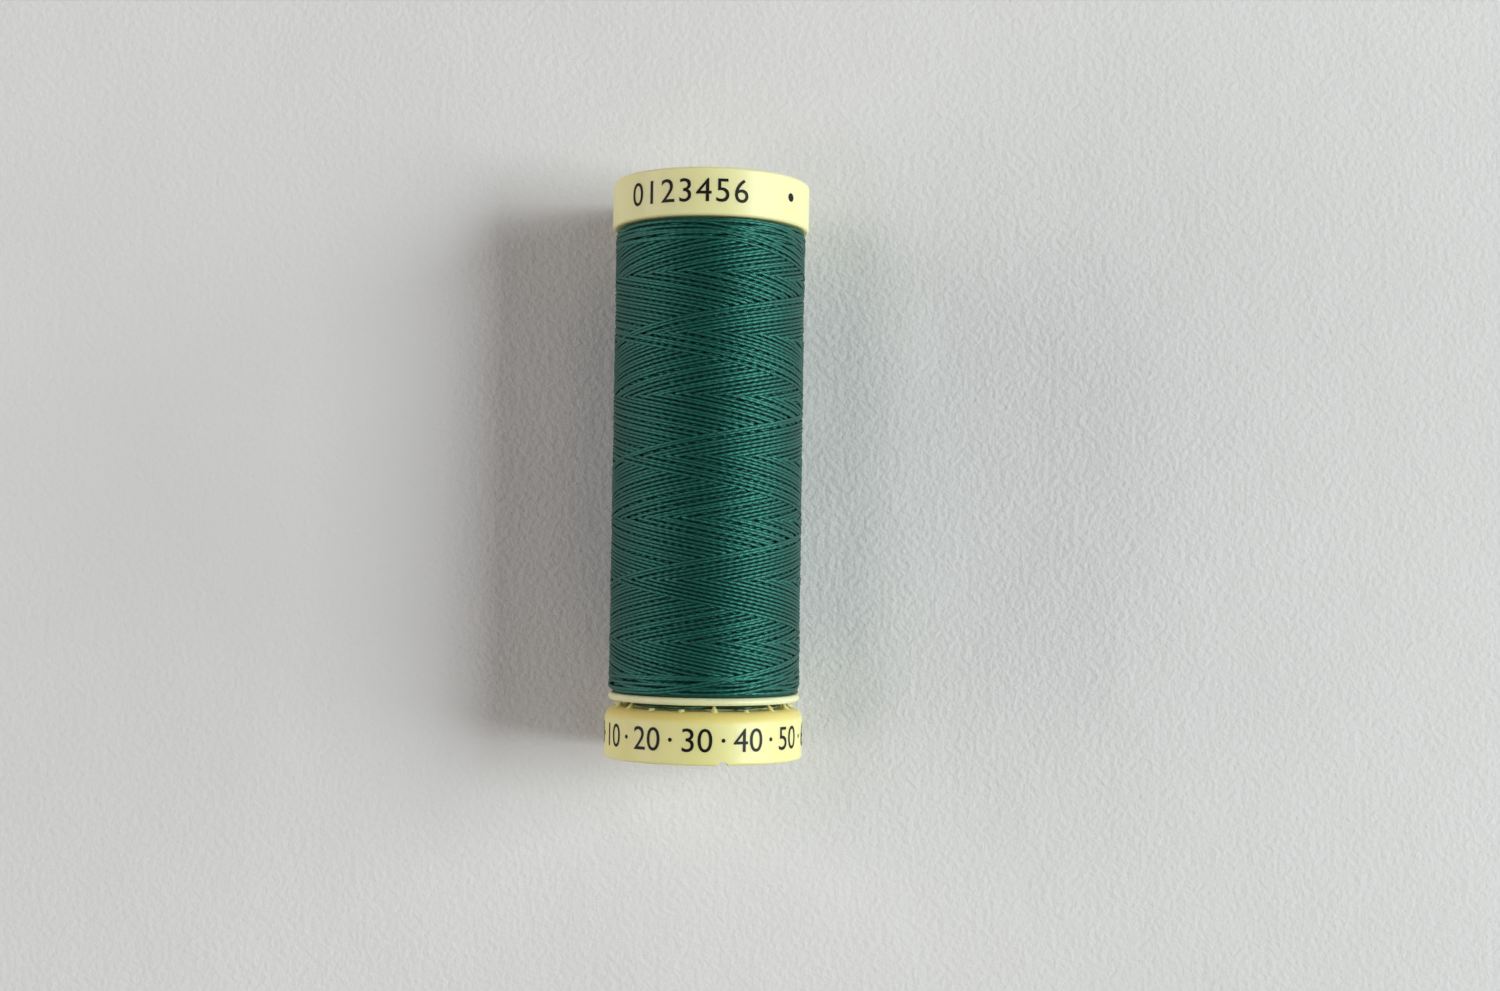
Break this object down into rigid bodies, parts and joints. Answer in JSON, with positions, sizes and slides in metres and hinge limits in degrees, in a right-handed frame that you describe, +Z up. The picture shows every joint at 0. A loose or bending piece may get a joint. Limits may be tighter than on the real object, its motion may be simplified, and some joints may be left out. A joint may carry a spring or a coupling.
{
  "type": "spool of sewing thread",
  "caption": "Moulded plastic spool wound with sewing thread, with a toothed sliding base cap that traps the loose end.",
  "frame": {"origin": "centre of the footprint on the table, with the spool lying on its side", "axes": "+Y along the spool's axis from the base cap to the top cap, +Z up from the table"},
  "size_m": [0.02, 0.0582, 0.02],
  "materials": {
    "core_plastic": "moulded, satin",
    "cap_plastic": "moulded, satin",
    "thread": "spun sewing thread, soft sheen"
  },
  "bodies": {
    "spool": {"spool_core": "core_plastic", "top_cap": "cap_plastic", "thread_package": "thread", "thread_outer_layer": "thread", "thread_tail": "thread"},
    "cap": {"base_cap": "cap_plastic"}
  },
  "joints": [
    {"name": "base_cap_slide", "type": "slide", "parent": "spool", "child": "cap", "axis": [0, -1, 0], "range_m": [0, 0.0024]}
  ]
}
